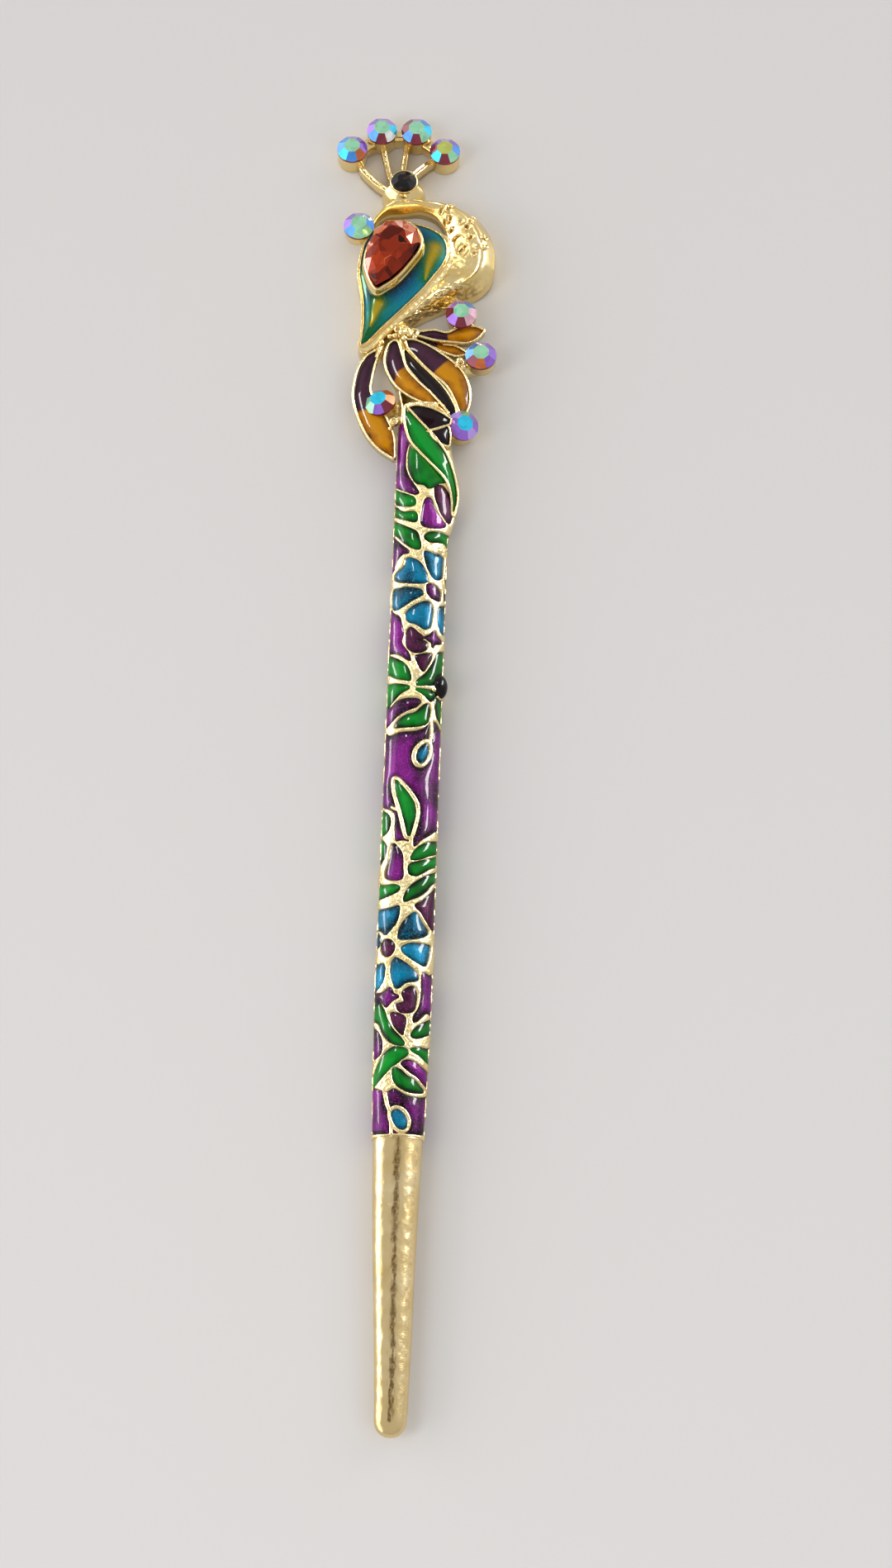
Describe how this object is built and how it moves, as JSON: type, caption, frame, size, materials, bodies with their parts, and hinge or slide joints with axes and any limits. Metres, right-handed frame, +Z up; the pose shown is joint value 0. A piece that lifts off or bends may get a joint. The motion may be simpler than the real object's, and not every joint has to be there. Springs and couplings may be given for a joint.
{
  "type": "hair stick",
  "caption": "Gilt hair stick with an enamelled shaft, a tapered plain tip and a stone-set peacock head with enamel petals.",
  "frame": {"origin": "on the surface that the stick lies on, under the middle of its length and width", "axes": "+Y from the tip to the crest along the shaft, +Z up out of the decorated face, +X to the right with the crest away from the viewer"},
  "size_m": [0.022, 0.1798, 0.0075],
  "materials": {
    "gilt_metal": "pale gold plating over a zinc alloy casting, polished with a fine grain",
    "coated_stone": "foil-backed cut glass with a rainbow coating",
    "black_stone": "black cut glass, polished",
    "amber_stone": "foil-backed brown-orange cut glass",
    "purple_enamel": "glossy purple glitter enamel",
    "plum_enamel": "glossy dark plum enamel",
    "green_enamel": "glossy green enamel",
    "blue_enamel": "glossy blue glitter enamel",
    "teal_enamel": "glossy teal enamel with green and yellow streaks",
    "amber_enamel": "glossy amber enamel shading to plum at the root"
  },
  "bodies": {
    "root": {"casting": "gilt_metal", "crest_stone_1": "coated_stone", "crest_stone_2": "coated_stone", "crest_stone_3": "coated_stone", "crest_stone_4": "coated_stone", "beak_stone": "coated_stone", "eye_stone": "black_stone", "pear_stone": "amber_stone", "petal_stone_1": "coated_stone", "petal_stone_2": "coated_stone", "petal_stone_3": "coated_stone", "petal_stone_4": "coated_stone", "side_cabochon": "black_stone", "body_enamel": "teal_enamel", "petal_enamel_1": "amber_enamel", "petal_enamel_2": "amber_enamel", "petal_enamel_3": "plum_enamel", "petal_enamel_4": "amber_enamel", "petal_enamel_5": "amber_enamel", "petal_enamel_6": "amber_enamel", "petal_enamel_7": "plum_enamel", "petal_enamel_8": "plum_enamel", "long_leaf_enamel": "green_enamel", "shaft_purple": "purple_enamel", "shaft_plum": "plum_enamel", "shaft_green": "green_enamel", "shaft_blue": "blue_enamel", "back_enamel": "purple_enamel"}
  },
  "joints": []
}
